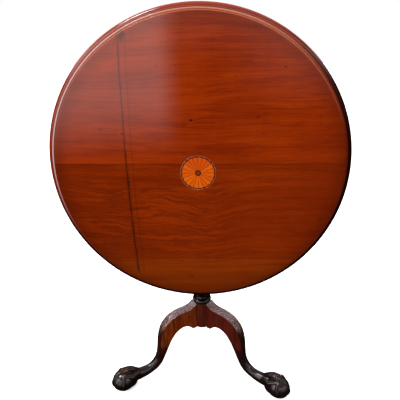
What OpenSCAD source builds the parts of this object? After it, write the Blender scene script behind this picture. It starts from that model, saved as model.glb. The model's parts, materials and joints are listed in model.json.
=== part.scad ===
// Tilt-top table on a tripod pedestal. Its round top is stored tilted upright.
// The origin is on the floor, under the middle of the table's bounding box.
// +Z is up, and the upright top faces -Y.

/* [Top] */
// Diameter of the round top
top_d = 800; // [760:10:840]
// Thickness of the glued-up boards
top_t = 20; // [18:1:24]
// Width of the moulding worked on the rim
rim_w = 17; // [15:0.5:20]
// Depth of the moulding below the face
rim_depth = 14; // [12:0.5:15]
// Height of the small square step inside the moulding
rim_step = 2; // [1:0.5:3]
// Distance of the upper glue joint from the centre of the top
joint_upper = 25; // [5:1:40]
// Distance of the lower glue joint from the centre of the top
joint_lower = -262; // [-268:1:-180]

/* [Inlay] */
// Diameter of the inlaid fan at the centre of the top
inlay_d = 95; // [80:1:110]
// Thickness of the inlay pieces
inlay_t = 1.6; // [1.2:0.2:3]
// Number of petals, and of dark blocks in their border
petals = 20; // [12:1:28]

/* [Battens] */
// Width of a batten
batten_w = 45; // [40:1:60]
// Thickness of a batten
batten_t = 24; // [20:1:28]
// Length of a batten
batten_l = 660; // [640:10:680]

/* [Cage] */
// Width and depth of the two cage plates
plate_w = 226; // [206:2:240]
// Thickness of each cage plate
plate_t = 18; // [18:1:20]
// Clear height between the cage plates
cage_gap = 66; // [60:1:80]
// Distance from the pillar's axis to each cage baluster, along X and Y
baluster_at = 86; // [78:1:90]

/* [Pedestal] */
// Height of the tilt axis above the floor
pivot_z = 678.5; // [660:0.5:700]
// Radius of the pillar's foot, where the legs join it
drum_r = 32; // [31:0.5:34]
// Height of the underside of the pillar
drum_z = 164; // [160:1:168]
// Thickness of a leg where it joins the pillar
leg_t = 36; // [32:1:38]
// Distance from the pillar's axis to the centre of a foot
foot_at = 303; // [290:1:310]
// Radius of the ball in each foot
ball_r = 36; // [33:0.5:38]
// Angle that the two front legs stand turned, seen from above, under the top
leg_turn = -1.3; // [-5:0.1:5]
// Angle that the back leg stands turned in the same way
back_leg_turn = 2.4; // [-5:0.1:5]

/* [Catch] */
// Travel of the catch bolt
bolt_travel = 8; // [6:0.5:8]

/* [Hidden] */
$fn = 64;

eps = 0.01;              // overshoot of a cut past the face that it opens
glue = 0.05;             // radial gap of a glued or driven round joint
run = 0.06;              // radial clearance of a running fit
face_gap = 0.5;          // gap between the top's underside and the cage plate
mahogany = [0.42, 0.15, 0.07];
dark_mahogany = [0.16, 0.06, 0.04];
satinwood = [0.85, 0.45, 0.10];
ebony = [0.10, 0.05, 0.03];
brass = [0.72, 0.55, 0.25];
iron = [0.25, 0.25, 0.26];

// Places that follow from the driving dimensions
top_r = top_d / 2;
pivot_off = plate_w / 2 - plate_t / 2;     // pillar axis to tilt axis
under_z = plate_t / 2 + face_gap;          // tilt axis to the top's underside
face_z = under_z + top_t;                  // tilt axis to the top's face
pin_r = 8;
pin_l = 28;
LEG_HEADINGS = [-150 + leg_turn, -30 + leg_turn, 90 + back_leg_turn];   // left, right, back
claw_out = 5.5;                            // height of a claw above the ball
foot_reach = ball_r + claw_out;            // centre of a foot to its outer end
back_reach = foot_at * cos(back_leg_turn) + foot_reach;
front_reach = foot_at * cos(60 - abs(leg_turn)) + foot_reach;
pillar_y = -(back_reach - front_reach) / 2;
pivot_y = pillar_y - pivot_off;
plate_far = 2 * pivot_off + plate_t / 2;   // tilt axis to the cage plate's far edge
plate_low_z = pivot_z - plate_t / 2 - cage_gap - plate_t;

// ---------- shared shapes ----------

// Catmull-Rom curve through points p, with n steps in each span
function spline_at(a, b, c, d, t) =
    0.5 * ((2 * b) + (c - a) * t + (2 * a - 5 * b + 4 * c - d) * t * t
    + (3 * b - a - 3 * c + d) * t * t * t);
function spline(p, n) = [
    for (i = [0 : len(p) - 2], k = [0 : n - 1])
        spline_at(p[max(i - 1, 0)], p[i], p[i + 1], p[min(i + 2, len(p) - 1)], k / n),
    p[len(p) - 1]
];
// Points of an elliptical arc about c, from angle a0 to a1
function arc(c, rx, ry, a0, a1, n) = [
    for (i = [0 : n]) c + [rx * cos(a0 + (a1 - a0) * i / n), ry * sin(a0 + (a1 - a0) * i / n)]
];

// Puts pieces drawn about the tilt axis of the lowered top into the upright top
module on_top() {
    translate([0, pivot_y, pivot_z]) rotate([90, 0, 0]) children();
}

// Puts pieces drawn about the centre of the top's face into place
module on_face() {
    on_top() translate([0, pivot_off, face_z]) children();
}

// Puts pieces drawn about the pillar's axis at floor level into place
module on_pillar() {
    translate([0, pillar_y, 0]) children();
}

// Countersunk wood screw, head up at z = 0
module screw(shank_r, head_r, length) {
    slot = head_r / 4;
    difference() {
        union() {
            translate([0, 0, -head_r + shank_r]) cylinder(h = head_r - shank_r, r1 = shank_r, r2 = head_r);
            translate([0, 0, -length + shank_r]) cylinder(h = length - head_r, r = shank_r);
            translate([0, 0, -length]) cylinder(h = shank_r, r1 = shank_r / 4, r2 = shank_r);
        }
        translate([-head_r, -slot / 2, -slot]) cube([2 * head_r, slot, 2 * slot]);
    }
}

// Hole that the screw is driven into
module screw_hole(shank_r, head_r, length) {
    translate([0, 0, -head_r + shank_r]) {
        cylinder(h = head_r - shank_r + eps, r1 = shank_r + glue, r2 = head_r + glue);
    }
    translate([0, 0, -length - glue]) cylinder(h = length, r = shank_r + glue);
}

// ---------- top boards ----------

edge_land = 3;           // square edge below the moulding
under_bevel = 8;         // bevel on the underside of the rim
rim_flat = 2;            // flat at the foot of the small step

function top_outline() = concat(
    [[0, 0], [top_r - rim_w, 0], [top_r - rim_w, -rim_step]],
    arc([top_r - rim_w + rim_flat, -rim_depth], rim_w - rim_flat, rim_depth - rim_step, 90, 0, 14),
    [[top_r, -rim_depth - edge_land], [top_r - under_bevel, -top_t], [0, -top_t]]
);

batten_x = plate_w / 2 + face_gap + batten_w / 2;
batten_screw_pitch = 139;
batten_screw_at = [for (k = [-2 : 2]) k * batten_screw_pitch];
batten_screw_l = batten_t + 13;
screw_r = 2.2;
screw_head_r = 4.5;

// Calls its children at every batten screw, drawn from the underside
module at_batten_screws(sides) {
    for (side = sides, y = batten_screw_at) {
        translate([side * batten_x, pivot_off + y, under_z - batten_t]) rotate([180, 0, 0]) children();
    }
}

case_w = 34;             // catch case across
case_l = 45;             // catch case along the bolt
case_h = 13;             // catch case depth
case_wall = 1.6;
case_gap = 2;            // gap between the case and the cage plate
case_flange = 8;         // screw flange on each side of the case
case_y = plate_far + case_gap;
catch_screw_r = 1.5;
catch_screw_head_r = 3;
catch_screw_l = 11;

// Calls its children at every catch screw, drawn from the underside
module at_catch_screws() {
    for (side = [-1, 1], y = [7, case_l - 7]) {
        translate([side * (case_w + case_flange) / 2, case_y + y, under_z - case_wall]) {
            rotate([180, 0, 0]) children();
        }
    }
}

// One board: the part of the top from y0 to y1, bored for its screws and inlay
module board(y0, y1) {
    color(mahogany) difference() {
        on_face() intersection() {
            rotate_extrude($fn = 180) polygon(top_outline());
            translate([-top_r, y0, -top_t]) cube([top_d, y1 - y0, top_t]);
        }
        on_face() translate([0, 0, -inlay_t]) cylinder(h = inlay_t + eps, d = inlay_d, $fn = 120);
        on_top() at_batten_screws([-1, 1]) screw_hole(screw_r, screw_head_r, batten_screw_l);
        on_top() at_catch_screws() screw_hole(catch_screw_r, catch_screw_head_r, catch_screw_l);
    }
}

module top_board_upper() { board(joint_upper, top_r); }
module top_board_middle() { board(joint_lower, joint_upper); }
module top_board_lower() { board(-top_r, joint_lower); }

// ---------- inlay ----------

inlay_r = inlay_d / 2;
string_w = 2;                        // width of the pale outer line
block_w = 3;                         // width of the block border
petal_r = inlay_r - string_w - block_w;
eye_ring_r = 8;
eye_r = 4;
inlay_line = 0.12;                   // dark glue line between neighbouring pieces
dark_share = 0.65;                   // part of each step that the dark block takes

// Flat ring sector of the inlay, from angle a0 to a1
module sector(r_in, r_out, a0, a1) {
    on_face() translate([0, 0, -inlay_t]) rotate([0, 0, a0]) {
        rotate_extrude(angle = a1 - a0, $fn = 120) translate([r_in, 0]) square([r_out - r_in, inlay_t]);
    }
}

// Ring of sectors, each the stated share of its step
module sector_ring(r_in, r_out, from, share) {
    step = 360 / petals;
    line_a = inlay_line / r_in * 180 / PI;
    for (k = [0 : petals - 1]) {
        sector(r_in, r_out, (k + from) * step + line_a / 2, (k + from + share) * step - line_a / 2);
    }
}

module inlay_ring(r_in, r_out) {
    on_face() translate([0, 0, -inlay_t]) difference() {
        cylinder(h = inlay_t, r = r_out - glue, $fn = 120);
        translate([0, 0, -eps]) cylinder(h = inlay_t + 2 * eps, r = r_in, $fn = 120);
    }
}

module inlay_stringing() {
    color([0.80, 0.65, 0.45]) inlay_ring(inlay_r - string_w, inlay_r);
}
module inlay_blocks_dark() {
    color(ebony) sector_ring(petal_r + glue, petal_r + block_w - glue, 0, dark_share);
}
module inlay_blocks_light() {
    color(satinwood) sector_ring(petal_r + glue, petal_r + block_w - glue, dark_share, 1 - dark_share);
}
module inlay_petals() {
    color(satinwood) sector_ring(eye_ring_r, petal_r, 0, 1);
}
module inlay_eye_ring() {
    color(ebony) inlay_ring(eye_r, eye_ring_r);
}
module inlay_eye() {
    color(mahogany) on_face() translate([0, 0, -inlay_t]) cylinder(h = inlay_t, r = eye_r - glue);
}

// ---------- battens ----------

batten_taper = 40;       // length of the thinned end of a batten
batten_end = 8;          // thickness left at the very end

module batten(side) {
    half = batten_l / 2;
    color(dark_mahogany) on_top() difference() {
        translate([side * batten_x - batten_w / 2, pivot_off, under_z]) rotate([90, 0, 90]) {
            linear_extrude(height = batten_w) polygon([
                [-half, 0], [half, 0], [half, -batten_end], [half - batten_taper, -batten_t],
                [batten_taper - half, -batten_t], [-half, -batten_end]
            ]);
        }
        translate([side * (plate_w / 2 + face_gap - eps), 0, 0]) rotate([0, side * 90, 0]) {
            cylinder(h = pin_l + 2, r = pin_r + run);
        }
        at_batten_screws([side]) screw_hole(screw_r, screw_head_r, batten_screw_l);
    }
}

module batten_left() { batten(-1); }
module batten_right() { batten(1); }
module batten_screws() {
    color(iron) on_top() at_batten_screws([-1, 1]) screw(screw_r, screw_head_r, batten_screw_l);
}

// ---------- catch ----------

bolt_w = 12;
bolt_h = 5.5;
bolt_l = 30;
bolt_nose = 7;           // reach of the bolt past the case
bolt_z = 3.5;            // centre of the bolt above the tilt axis
slide_gap = 0.2;         // clearance of the bolt in its case
knob_stem_r = 2.2;
knob_r = 6;
knob_drop = 16;          // length of the knob below the case
stem_y = case_y + 12;
spring_r = 2.1;
spring_wire_r = 0.4;
spring_turns = 5;
spring_y0 = case_y - bolt_nose + bolt_l;
spring_y1 = case_y + case_l - case_wall;

module catch_case() {
    channel_w = bolt_w + 2 * slide_gap;
    channel_h = bolt_h + 2 * slide_gap;
    bottom_z = under_z - case_h;
    color(brass) on_top() difference() {
        union() {
            translate([-case_w / 2, case_y, bottom_z]) cube([case_w, case_l, case_h]);
            translate([-case_w / 2 - case_flange, case_y, under_z - case_wall]) {
                cube([case_w + 2 * case_flange, case_l, case_wall]);
            }
        }
        translate([-channel_w / 2, case_y - eps, bolt_z - channel_h / 2]) {
            cube([channel_w, case_l - case_wall + eps, channel_h]);
        }
        translate([0, stem_y, bottom_z - eps]) {
            cylinder(h = case_h / 2, r = knob_stem_r + slide_gap);
        }
        translate([0, stem_y + bolt_travel, bottom_z - eps]) {
            cylinder(h = case_h / 2, r = knob_stem_r + slide_gap);
        }
        translate([-knob_stem_r - slide_gap, stem_y, bottom_z - eps]) {
            cube([2 * (knob_stem_r + slide_gap), bolt_travel, case_h / 2]);
        }
        at_catch_screws() screw_hole(catch_screw_r, catch_screw_head_r, catch_screw_l);
    }
}

module catch_bolt() {
    bevel = bolt_h - 1.5;
    color(brass) on_top() translate([-bolt_w / 2, case_y - bolt_nose, bolt_z - bolt_h / 2]) {
        difference() {
            rotate([90, 0, 90]) linear_extrude(height = bolt_w) polygon([
                [bevel, 0], [bolt_l, 0], [bolt_l, bolt_h], [0, bolt_h], [0, bevel]
            ]);
            translate([bolt_w / 2, stem_y - case_y + bolt_nose, -eps]) {
                cylinder(h = bolt_h / 2 + eps, r = knob_stem_r + glue);
            }
        }
    }
}

module catch_knob() {
    stem_top = bolt_z - glue;
    ball_z = under_z - case_h - knob_drop + knob_r;
    outline = concat(
        [[0, stem_top], [knob_stem_r, stem_top], [knob_stem_r, ball_z + knob_r]],
        arc([0, ball_z], knob_r, knob_r, 60, -90, 16)
    );
    color(brass) on_top() translate([0, stem_y, 0]) rotate_extrude() polygon(outline);
}

// Coil of round wire that pushes the bolt out of the case
module catch_spring() {
    sides = 8;
    per_turn = 16;
    coil_l = spring_y1 - spring_y0 - 2 * spring_wire_r - 2 * glue;
    steps = spring_turns * per_turn;
    ring = [for (i = [0 : steps], k = [0 : sides - 1])
        let (
            turn = 360 * i / per_turn,
            wire = 360 * k / sides,
            r = spring_r - spring_wire_r + spring_wire_r * cos(wire)
        )
        [r * cos(turn), r * sin(turn), coil_l * i / steps + spring_wire_r * sin(wire)]];
    walls = [for (i = [0 : steps - 1], k = [0 : sides - 1], half = [0, 1])
        let (a = i * sides + k, b = i * sides + (k + 1) % sides)
        half == 0 ? [a, b, b + sides] : [a, b + sides, a + sides]];
    ends = [[for (k = [sides - 1 : -1 : 0]) k], [for (k = [0 : sides - 1]) steps * sides + k]];
    color(iron) on_top() translate([0, spring_y0 + spring_wire_r + glue, bolt_z]) {
        rotate([-90, 0, 0]) polyhedron(points = ring, faces = concat(walls, ends), convexity = 10);
    }
}

module catch_screws() {
    color(brass) on_top() at_catch_screws() screw(catch_screw_r, catch_screw_head_r, catch_screw_l);
}

// ---------- cage ----------

mortise_w = bolt_w + 2;
mortise_h = 6.2;
mortise_d = 8;
keeper_w = 40;
keeper_h = 13;
keeper_t = 1.5;
keeper_screw_x = 14;
keeper_screw_l = 12;

// Puts pieces drawn about the cage's tilt axis into place
module on_cage() {
    translate([0, pivot_y, pivot_z]) children();
}

// Calls its children at both keeper screws, drawn from the plate's far edge
module at_keeper_screws() {
    for (side = [-1, 1]) {
        translate([side * keeper_screw_x, plate_far, 0]) rotate([-90, 0, 0]) children();
    }
}

module keeper_mortise() {
    translate([-mortise_w / 2, plate_far - mortise_d, bolt_z - mortise_h / 2]) {
        cube([mortise_w, mortise_d + eps, mortise_h]);
    }
}

module keeper_blank() {
    translate([-keeper_w / 2, plate_far - keeper_t, bolt_z - keeper_h / 2 - 1]) {
        cube([keeper_w, keeper_t + eps, keeper_h]);
    }
}

module keeper_plate() {
    color(brass) on_cage() difference() {
        translate([-keeper_w / 2, plate_far - keeper_t, bolt_z - keeper_h / 2 - 1]) {
            cube([keeper_w, keeper_t, keeper_h]);
        }
        keeper_mortise();
        at_keeper_screws() screw_hole(catch_screw_r, catch_screw_head_r, keeper_screw_l);
    }
}

module keeper_screws() {
    color(brass) on_cage() at_keeper_screws() screw(catch_screw_r, catch_screw_head_r, keeper_screw_l);
}

stem_r = 19;             // pillar stem inside the cage
spigot_r = 15;           // pillar spigot in the top plate
tenon_r = 8;
tenon_l = 12;

// Calls its children over the four balusters
module at_balusters() {
    for (x = [-1, 1], y = [-1, 1]) {
        translate([x * baluster_at, pivot_off + y * baluster_at, 0]) children();
    }
}

// Upper plate, with a rounded front edge and the two pins that the top tilts on
module cage_top_plate() {
    color(dark_mahogany) on_cage() difference() {
        union() {
            translate([-plate_w / 2, 0, -plate_t / 2]) cube([plate_w, plate_far, plate_t]);
            translate([-plate_w / 2, 0, 0]) rotate([0, 90, 0]) cylinder(h = plate_w, d = plate_t);
            translate([-plate_w / 2 - pin_l, 0, 0]) rotate([0, 90, 0]) {
                cylinder(h = plate_w + 2 * pin_l, r = pin_r);
            }
        }
        translate([0, pivot_off, -plate_t]) cylinder(h = 2 * plate_t, r = spigot_r + run);
        at_balusters() translate([0, 0, -plate_t / 2 - eps]) {
            cylinder(h = tenon_l + glue + eps, r = tenon_r + glue);
        }
        keeper_blank();
        keeper_mortise();
        at_keeper_screws() screw_hole(catch_screw_r, catch_screw_head_r, keeper_screw_l);
    }
}

module cage_bottom_plate() {
    color(dark_mahogany) on_pillar() translate([0, 0, plate_low_z]) difference() {
        translate([-plate_w / 2, -plate_w / 2, 0]) cube([plate_w, plate_w, plate_t]);
        translate([0, 0, -plate_t]) cylinder(h = 3 * plate_t, r = stem_r + run);
        translate([0, -pivot_off, plate_t - tenon_l - glue]) at_balusters() {
            cylinder(h = tenon_l + glue + eps, r = tenon_r + glue);
        }
    }
}

// Turned baluster between the plates, with a round tenon at each end
module baluster(x, y) {
    half = cage_gap / 2;
    body = spline([[9, -half], [12, 4 - half], [8, 10 - half], [13, 22 - half], [12, half - 30],
        [7, half - 13], [11, half - 8], [9, half]], 5);
    outline = concat(
        [[0, -half - tenon_l], [tenon_r, -half - tenon_l], [tenon_r, -half]],
        body,
        [[tenon_r, half], [tenon_r, half + tenon_l], [0, half + tenon_l]]
    );
    color(dark_mahogany) on_pillar() {
        translate([x * baluster_at, y * baluster_at, plate_low_z + plate_t + half]) {
            rotate_extrude($fn = 48) polygon(outline);
        }
    }
}

module baluster_front_left() { baluster(-1, -1); }
module baluster_front_right() { baluster(1, -1); }
module baluster_back_left() { baluster(-1, 1); }
module baluster_back_right() { baluster(1, 1); }

// ---------- collar and wedge, which hold the cage down on the stem ----------

collar_r = 31;
collar_h = 12;
collar_z = plate_low_z + plate_t + 0.2;
wedge_z = collar_z + collar_h;
wedge_l = 96;
wedge_t = 9;
wedge_low = 13;          // height of the wedge's thin end
wedge_high = 19;         // height of the wedge's thick end
wedge_turn = 20;         // angle that the wedge lies turned, seen from above

module cage_collar() {
    outline = concat(
        [[stem_r + glue, 0], [collar_r - 2, 0]],
        arc([collar_r - 4, collar_h / 2], 4, collar_h / 2, -60, 60, 8),
        [[collar_r - 2, collar_h], [stem_r + glue, collar_h]]
    );
    color(dark_mahogany) on_pillar() translate([0, 0, collar_z]) rotate_extrude() polygon(outline);
}

module wedge_body() {
    translate([0, 0, wedge_z]) rotate([90, 0, 0]) {
        linear_extrude(height = wedge_t, center = true) polygon([
            [-wedge_l / 2, 0], [wedge_l / 2, 0], [wedge_l / 2, wedge_high], [-wedge_l / 2, wedge_low]
        ]);
    }
}

module cage_wedge() {
    color(dark_mahogany) on_pillar() rotate([0, 0, wedge_turn]) wedge_body();
}

// ---------- pillar ----------

dovetail_h = 84;         // height of the leg's sliding dovetail
dovetail_in = 17;        // distance of the dovetail's end from the pillar's axis
dovetail_neck = 12;      // dovetail width at the pillar's surface
dovetail_wide = 20;      // dovetail width at its end
spider_t = 2.5;
neck_z = 280;            // top of the ring above the legs
ring_w = 5.8;            // half-round ring: width and half height
ring_half_h = 7.5;
flange_r = 36;

// Tail drawn outward along +X, larger than the real one by gap on each side
module dovetail(gap) {
    translate([0, 0, drum_z - gap]) linear_extrude(height = dovetail_h + 2 * gap) polygon([
        [dovetail_in - gap, -dovetail_wide / 2 - gap], [drum_r + 1, -dovetail_neck / 2 - gap],
        [drum_r + 1, dovetail_neck / 2 + gap], [dovetail_in - gap, dovetail_wide / 2 + gap]
    ]);
}

module at_legs() {
    for (heading = LEG_HEADINGS) rotate([0, 0, heading]) children();
}

function pillar_outline() = concat(
    [[0, drum_z], [drum_r, drum_z], [drum_r, neck_z - 2 * ring_half_h]],
    arc([drum_r - 5, neck_z - ring_half_h], ring_w, ring_half_h, -75, 75, 10),
    spline([[29.5, neck_z + 1], [29.5, neck_z + 8], [27, 298], [30, 314], [40, 336], [43.5, 358],
        [39, 384], [28, 412], [23, 442], [21.5, 480], [21, 520], [22, 545], [24, 556]], 6),
    arc([24, 562], 5, 5, -80, 80, 8),
    spline([[24, 568], [24.5, plate_low_z - 13], [29, plate_low_z - 8], [flange_r, plate_low_z - 6]], 5),
    [[flange_r, plate_low_z], [stem_r, plate_low_z], [stem_r, pivot_z - plate_t / 2 - 0.2],
        [spigot_r, pivot_z - plate_t / 2 - 0.2], [spigot_r, pivot_z + plate_t / 2 - 1],
        [0, pivot_z + plate_t / 2 - 1]]
);

module pillar() {
    color(dark_mahogany) on_pillar() difference() {
        rotate_extrude($fn = 96) polygon(pillar_outline());
        at_legs() dovetail(glue);
        rotate([0, 0, wedge_turn]) wedge_body();
        spider_blank(glue);
        at_spider_screws() screw_hole(screw_r, screw_head_r, spider_screw_l);
    }
}

// ---------- legs ----------

// Side view of a leg, as distance from the pillar's axis and height above the floor
leg_top = [[drum_r - 2, 267], [40, 259], [55, 251], [80, 248], [106, 243], [130, 231], [150.5, 208],
    [163.5, 177.5], [171, 143.5], [176.5, 113], [186, 83], [201, 63], [222, 54.5], [250, 55], [280, 62]];
leg_arch = [[44, drum_z], [52, 171.5], [64, 181.5], [80, 185], [98, 179], [115, 165.5], [128.5, 142],
    [139.5, 110], [152.5, 74], [168, 47], [190, 30], [219, 19.5], [250, 15], [280, 10]];

// Half the width of a leg, and the height above the floor where it has that width
leg_front = [[leg_t / 2, 280], [leg_t / 2, 165], [16, 125], [15, 90], [15, 40], [18, 0]];

claw_t = 11;             // width of a claw
claw_root = 4;           // depth of a claw inside the ball
knuckle_r = 6.5;
knuckle_at = 37;         // angle of a front claw's knuckle above the ball's equator
nail_at = -35;           // angle of a claw's lower end

function reverse(p) = [for (k = [len(p) - 1 : -1 : 0]) p[k]];

// Claw in the upright plane of its heading, from angle low to angle high about the ball
module claw(heading, low, high, knuckles) {
    translate([foot_at, 0, ball_r - 1]) rotate([0, 0, heading]) rotate([90, 0, 0]) {
        rotate([0, 0, low]) rotate_extrude(angle = high - low) {
            translate([ball_r - claw_root, -claw_t / 2]) square([claw_out + claw_root, claw_t]);
        }
        for (a = knuckles) {
            rotate([0, 0, a]) translate([ball_r + claw_out - claw_root, 0, -claw_t / 2 + 1]) {
                cylinder(h = claw_t - 2, r = knuckle_r, $fn = 32);
            }
        }
    }
}

// Cabriole leg along +X: side view and front view crossed, on a ball held by four claws
module leg_solid() {
    side_view = concat(spline(leg_top, 4), reverse(spline(leg_arch, 4)), [[drum_r - 2, drum_z]]);
    front_view = concat(leg_front, reverse([for (p = leg_front) [-p[0], p[1]]]));
    difference() {
        union() {
            intersection() {
                translate([0, leg_t / 2, 0]) rotate([90, 0, 0]) {
                    linear_extrude(height = leg_t) polygon(side_view);
                }
                rotate([90, 0, 90]) linear_extrude(height = foot_at) polygon(front_view);
            }
            translate([foot_at, 0, ball_r - 1]) sphere(r = ball_r);
            claw(0, nail_at, 95, [knuckle_at]);
            for (heading = [-62, 62]) claw(heading, nail_at, 66, [knuckle_at]);
            claw(180, nail_at, 10, []);
        }
        translate([0, 0, drum_z - 1]) cylinder(h = 200, r = drum_r, $fn = 96);
        translate([foot_at - 2 * ball_r, -2 * ball_r, -20]) cube([4 * ball_r, 4 * ball_r, 20]);
    }
    dovetail(0);
}

module leg(heading) {
    color(dark_mahogany) on_pillar() difference() {
        rotate([0, 0, heading]) leg_solid();
        spider_blank(glue);
        at_spider_screws() screw_hole(screw_r, screw_head_r, spider_screw_l);
    }
}

module leg_left() { leg(LEG_HEADINGS[0]); }
module leg_right() { leg(LEG_HEADINGS[1]); }
module leg_back() { leg(LEG_HEADINGS[2]); }

// ---------- iron spider let into the underside ----------

spider_hub_r = 16;
spider_arm = 36.5;       // length of an arm, to the centre of its round end
spider_arm_w = 14;
spider_screw_l = 18;

// Flat three-armed plate, larger than the real one by gap all round
module spider_blank(gap) {
    translate([0, 0, drum_z - gap]) {
        cylinder(h = spider_t + 2 * gap, r = spider_hub_r + gap);
        at_legs() {
            translate([spider_hub_r / 2, -spider_arm_w / 2 - gap, 0]) {
                cube([spider_arm - spider_hub_r / 2, spider_arm_w + 2 * gap, spider_t + 2 * gap]);
            }
            translate([spider_arm, 0, 0]) cylinder(h = spider_t + 2 * gap, r = spider_arm_w / 2 + gap);
        }
    }
}

// Calls its children at the spider's screws, whose heads face down
module at_spider_screws() {
    translate([0, 0, drum_z]) rotate([180, 0, 0]) children();
    at_legs() translate([spider_arm, 0, drum_z]) rotate([180, 0, 0]) children();
}

module leg_spider() {
    color(iron) on_pillar() difference() {
        spider_blank(0);
        at_spider_screws() screw_hole(screw_r, screw_head_r, spider_screw_l);
    }
}

module spider_screws() {
    color(iron) on_pillar() at_spider_screws() screw(screw_r, screw_head_r, spider_screw_l);
}

top_board_upper();
top_board_middle();
top_board_lower();
inlay_stringing();
inlay_blocks_dark();
inlay_blocks_light();
inlay_petals();
inlay_eye_ring();
inlay_eye();
batten_left();
batten_right();
batten_screws();
catch_case();
catch_bolt();
catch_knob();
catch_spring();
catch_screws();
keeper_plate();
keeper_screws();
cage_top_plate();
cage_bottom_plate();
baluster_front_left();
baluster_front_right();
baluster_back_left();
baluster_back_right();
cage_collar();
cage_wedge();
pillar();
leg_left();
leg_right();
leg_back();
leg_spider();
spider_screws();
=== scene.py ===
"""Looks of a tilt-top tea table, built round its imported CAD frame.

Metres, with +Z up; at rest the top is tipped up and faces -Y.
"""
import json
import math

import bmesh
import bpy
import numpy as np
from mathutils import Matrix, Vector


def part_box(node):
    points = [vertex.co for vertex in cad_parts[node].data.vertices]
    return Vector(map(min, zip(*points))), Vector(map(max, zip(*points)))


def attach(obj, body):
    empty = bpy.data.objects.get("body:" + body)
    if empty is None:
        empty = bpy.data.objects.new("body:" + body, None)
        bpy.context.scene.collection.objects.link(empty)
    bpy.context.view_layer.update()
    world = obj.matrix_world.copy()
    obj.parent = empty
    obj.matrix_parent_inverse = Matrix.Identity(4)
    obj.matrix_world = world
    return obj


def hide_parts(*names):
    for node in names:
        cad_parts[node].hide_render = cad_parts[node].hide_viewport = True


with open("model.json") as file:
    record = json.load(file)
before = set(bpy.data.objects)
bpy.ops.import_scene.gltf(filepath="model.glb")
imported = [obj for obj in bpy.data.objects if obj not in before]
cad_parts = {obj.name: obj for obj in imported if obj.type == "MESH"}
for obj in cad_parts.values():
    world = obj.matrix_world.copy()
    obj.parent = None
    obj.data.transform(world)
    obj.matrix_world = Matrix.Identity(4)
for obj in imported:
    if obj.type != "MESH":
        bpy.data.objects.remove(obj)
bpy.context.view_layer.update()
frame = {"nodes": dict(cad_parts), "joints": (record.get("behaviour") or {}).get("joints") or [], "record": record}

MM = 0.001
nodes = frame["nodes"]
joints = {j["name"]: j for j in frame["joints"]}
mounts = {m["name"]: m for m in frame["record"]["mounts"]}


# ---------- places taken from the frame ----------

def span(*names):
    """Lowest and highest corner of several CAD nodes together."""
    boxes = [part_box(n) for n in names]
    low = Vector([min(b[0][k] for b in boxes) for k in range(3)])
    high = Vector([max(b[1][k] for b in boxes) for k in range(3)])
    return low, high


BOARDS = ("top_board_upper", "top_board_middle", "top_board_lower")
top_low, top_high = span(*BOARDS)
TOP_R = (top_high.x - top_low.x) / 2
TOP_T = top_high.y - top_low.y
FACE = Vector((0, top_low.y, (top_low.z + top_high.z) / 2))      # centre of the top's face
JOINTS_Z = [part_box("top_board_upper")[0].z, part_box("top_board_lower")[1].z]
INLAY_R = (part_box("inlay_stringing")[1].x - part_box("inlay_stringing")[0].x) / 2
INLAY_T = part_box("inlay_petals")[1].y - FACE.y

PILLAR_LOW, PILLAR_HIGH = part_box("pillar")
AXIS = Vector((joints["cage_spin"]["pos_m"][0], joints["cage_spin"]["pos_m"][1], 0))
FEET = {name: Vector(mounts[f"foot_{name}_floor"]["pos_m"]) for name in ("left", "right", "back")}
FOOT_AT = (FEET["back"] - AXIS).length                           # pillar axis to a foot's centre


# ---------- camera ----------

CAMERA_FROM_FACE = Vector((0.0427, -0.8667, 0.2826))
CAMERA_YAW, CAMERA_PITCH, CAMERA_ROLL = (math.radians(a) for a in (2.55, -22.52, -0.79))
FOCAL_MM = 30.92


def make_camera():
    data = bpy.data.cameras.new("camera")
    data.lens = FOCAL_MM
    data.sensor_width = 36
    data.clip_start = 0.01
    camera = bpy.data.objects.new("camera", data)
    bpy.context.scene.collection.objects.link(camera)
    ahead = Vector((
        -math.sin(CAMERA_YAW) * math.cos(CAMERA_PITCH),
        math.cos(CAMERA_YAW) * math.cos(CAMERA_PITCH),
        math.sin(CAMERA_PITCH),
    ))
    right = Vector((math.cos(CAMERA_YAW), math.sin(CAMERA_YAW), 0))
    up = right.cross(ahead)
    rolled_right = right * math.cos(CAMERA_ROLL) + up * math.sin(CAMERA_ROLL)
    rolled_up = up * math.cos(CAMERA_ROLL) - right * math.sin(CAMERA_ROLL)
    turn = Matrix((rolled_right, rolled_up, -ahead)).transposed().to_4x4()
    camera.matrix_world = Matrix.Translation(FACE + CAMERA_FROM_FACE) @ turn
    bpy.context.scene.camera = camera


make_camera()


# ---------- mesh helpers ----------

def add_object(name, mesh):
    piece = bpy.data.objects.new(name, mesh)
    bpy.context.scene.collection.objects.link(piece)
    return piece


def mesh_from(name, points, faces, sharp=35):
    """Smooth-shaded mesh whose edges above the sharp angle, in degrees, stay crisp."""
    mesh = bpy.data.meshes.new(name)
    mesh.from_pydata([tuple(p) for p in points], [], faces)
    mesh.validate()
    mesh.update()
    shade(mesh, sharp)
    return mesh


def shade(mesh, sharp):
    mesh.polygons.foreach_set("use_smooth", [True] * len(mesh.polygons))
    if sharp < 180:
        mesh.set_sharp_from_angle(angle=math.radians(sharp))
    mesh.update()


def baked(piece, name=None):
    """Piece's mesh with its modifiers applied; piece itself is removed."""
    depsgraph = bpy.context.evaluated_depsgraph_get()
    mesh = bpy.data.meshes.new_from_object(piece.evaluated_get(depsgraph))
    mesh.name = name or piece.name
    bpy.data.objects.remove(piece)
    return mesh


def cut_level(shape, height, outward):
    """Cuts off what lies beyond a level plane, outward being 1 or -1, and returns the edges of the cut."""
    everything = shape.verts[:] + shape.edges[:] + shape.faces[:]
    cut = bmesh.ops.bisect_plane(shape, geom=everything, plane_co=(0, 0, height),
                                 plane_no=(0, 0, outward), clear_outer=True)
    return [e for e in cut["geom_cut"] if isinstance(e, bmesh.types.BMEdge)]


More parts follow.
